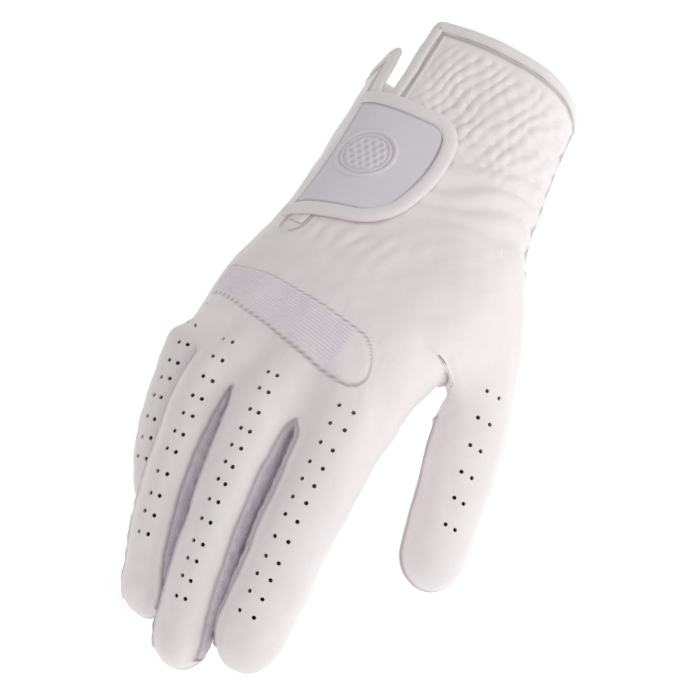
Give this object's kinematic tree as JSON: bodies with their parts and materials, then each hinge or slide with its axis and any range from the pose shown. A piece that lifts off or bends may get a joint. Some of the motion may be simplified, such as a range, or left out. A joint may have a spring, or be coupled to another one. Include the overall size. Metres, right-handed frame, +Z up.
{
  "type": "golf glove",
  "caption": "Right-hand golf glove in soft white leather with perforated fingers, knit side walls, elastic knuckle band and wrist, and a hook-and-loop closure tab.",
  "frame": {"origin": "middle of the bounding box, on the surface that the glove rests on", "axes": "+Z up out of the back of the hand, -Y towards the fingertips, +X towards the thumb"},
  "size_m": [0.1122, 0.2149, 0.0552],
  "materials": {
    "white_leather": "soft sheepskin, fine grain",
    "grey_knit": "stretch knit",
    "lilac_elastic": "ribbed elastic",
    "tab_cloth": "smooth brushed cloth",
    "white_hook_and_loop": "hook and loop tape"
  },
  "bodies": {
    "hand": {"back_panel": "white_leather", "palm_panel": "white_leather", "side_flap": "white_leather", "knuckle_band": "lilac_elastic", "cuff_binding": "white_leather", "slit_binding_thumb_side": "white_leather", "slit_binding_little_side": "white_leather", "keyhole_patch": "white_leather", "wrist_elastic": "white_leather", "loop_patch": "white_hook_and_loop", "thumb_base": "white_leather"},
    "closure_tab": {"tab_backing": "white_leather", "tab_face": "tab_cloth", "tab_binding": "white_leather", "tab_emblem": "tab_cloth", "hook_patch": "white_hook_and_loop"},
    "little_lower": {"little_lower_back": "white_leather", "little_lower_palm": "white_leather", "little_lower_sides": "grey_knit"},
    "little_upper": {"little_upper_back": "white_leather", "little_upper_palm": "white_leather", "little_upper_sides": "grey_knit"},
    "ring_lower": {"ring_lower_back": "white_leather", "ring_lower_palm": "white_leather", "ring_lower_sides": "grey_knit"},
    "ring_upper": {"ring_upper_back": "white_leather", "ring_upper_palm": "white_leather", "ring_upper_sides": "grey_knit"},
    "middle_lower": {"middle_lower_back": "white_leather", "middle_lower_palm": "white_leather", "middle_lower_sides": "grey_knit"},
    "middle_upper": {"middle_upper_back": "white_leather", "middle_upper_palm": "white_leather", "middle_upper_sides": "grey_knit"},
    "index_lower": {"index_lower_back": "white_leather", "index_lower_palm": "white_leather", "index_lower_sides": "grey_knit"},
    "index_upper": {"index_upper_back": "white_leather", "index_upper_palm": "white_leather", "index_upper_sides": "grey_knit"},
    "thumb_lower": {"thumb_lower_back": "white_leather", "thumb_lower_palm": "white_leather"},
    "thumb_upper": {"thumb_upper_back": "white_leather", "thumb_upper_palm": "white_leather"}
  },
  "joints": [
    {"name": "tab_hinge", "type": "hinge", "parent": "hand", "child": "closure_tab", "pos_m": [-0.04017, 0.05189, 0.03853], "axis": [-0.0462, -0.9984, -0.0318], "range_deg": [0, 130]},
    {"name": "little_root", "type": "hinge", "parent": "hand", "child": "little_lower", "pos_m": [-0.0473, -0.01966, 0.02015], "axis": [0.8285, 0.0289, 0.5592], "range_deg": [-15, 4]},
    {"name": "little_bend", "type": "hinge", "parent": "little_lower", "child": "little_upper", "pos_m": [-0.04418, -0.03987, 0.01657], "axis": [0.8285, 0.0289, 0.5592], "range_deg": [-15, 35]},
    {"name": "ring_root", "type": "hinge", "parent": "hand", "child": "ring_lower", "pos_m": [-0.0323, -0.03265, 0.03232], "axis": [0.9702, 0.0102, 0.2419], "range_deg": [-15, 4]},
    {"name": "ring_bend", "type": "hinge", "parent": "ring_lower", "child": "ring_upper", "pos_m": [-0.02913, -0.06186, 0.02444], "axis": [0.9702, 0.0102, 0.2419], "range_deg": [-15, 28]},
    {"name": "middle_root", "type": "hinge", "parent": "hand", "child": "middle_lower", "pos_m": [-0.01272, -0.03863, 0.03813], "axis": [0.9928, 0.059, 0.1045], "range_deg": [-15, 25]},
    {"name": "middle_bend", "type": "hinge", "parent": "middle_lower", "child": "middle_upper", "pos_m": [-0.00982, -0.06963, 0.02808], "axis": [0.9928, 0.059, 0.1045], "range_deg": [-15, 35]},
    {"name": "index_root", "type": "hinge", "parent": "hand", "child": "index_lower", "pos_m": [0.01194, -0.03864, 0.03972], "axis": [0.9932, 0.052, -0.1045], "range_deg": [-15, 10]},
    {"name": "index_bend", "type": "hinge", "parent": "index_lower", "child": "index_upper", "pos_m": [0.01247, -0.06715, 0.03051], "axis": [0.9932, 0.052, -0.1045], "range_deg": [-15, 12]},
    {"name": "thumb_root", "type": "hinge", "parent": "hand", "child": "thumb_lower", "pos_m": [0.04066, -0.0095, 0.02004], "axis": [0.8444, 0.2581, -0.4695], "range_deg": [-15, 25]},
    {"name": "thumb_bend", "type": "hinge", "parent": "thumb_lower", "child": "thumb_upper", "pos_m": [0.04389, -0.02724, 0.01609], "axis": [0.8444, 0.2581, -0.4695], "range_deg": [-15, 25]}
  ]
}
